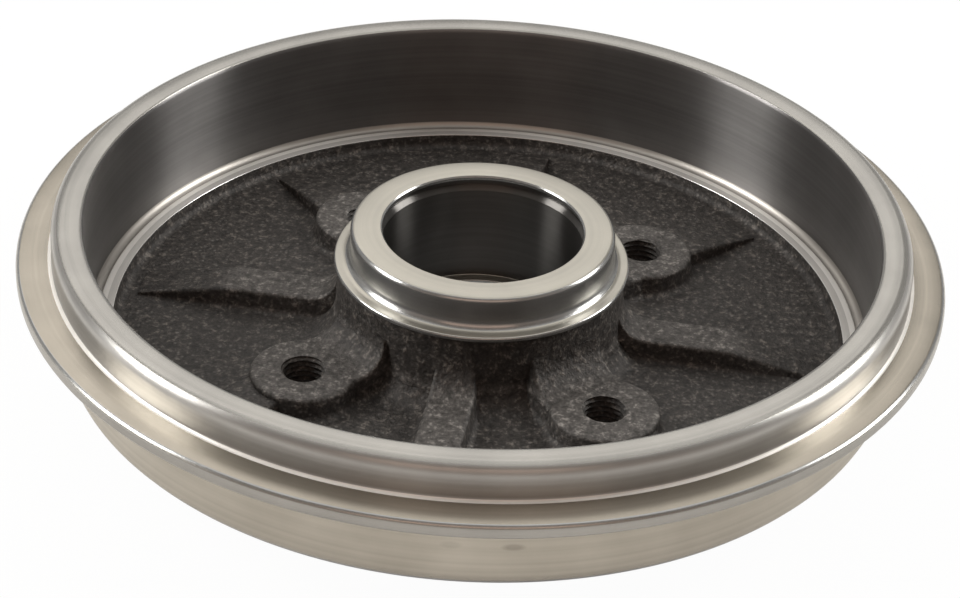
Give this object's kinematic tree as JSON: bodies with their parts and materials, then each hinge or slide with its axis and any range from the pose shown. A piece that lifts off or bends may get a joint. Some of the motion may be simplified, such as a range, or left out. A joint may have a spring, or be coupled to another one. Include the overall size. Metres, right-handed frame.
{
  "type": "brake drum",
  "caption": "Cast iron brake drum in one piece with its wheel hub: turned friction bore, lip and flange, cast web with bosses and ribs, bearing bore and bolt circle.",
  "frame": {"origin": "on the hub axis, at the end face of the wheel spigot, the lowest face of the drum", "axes": "+Z along the hub axis, out of the drum's open side; +X and +Y across it, with the first bolt hole 37 degrees from +X towards +Y"},
  "size_m": [0.2376, 0.2376, 0.051],
  "materials": {
    "drum_iron": "turned on the working faces, as cast and sandy on the web"
  },
  "bodies": {
    "root": {"brake_drum": "drum_iron"}
  },
  "joints": []
}
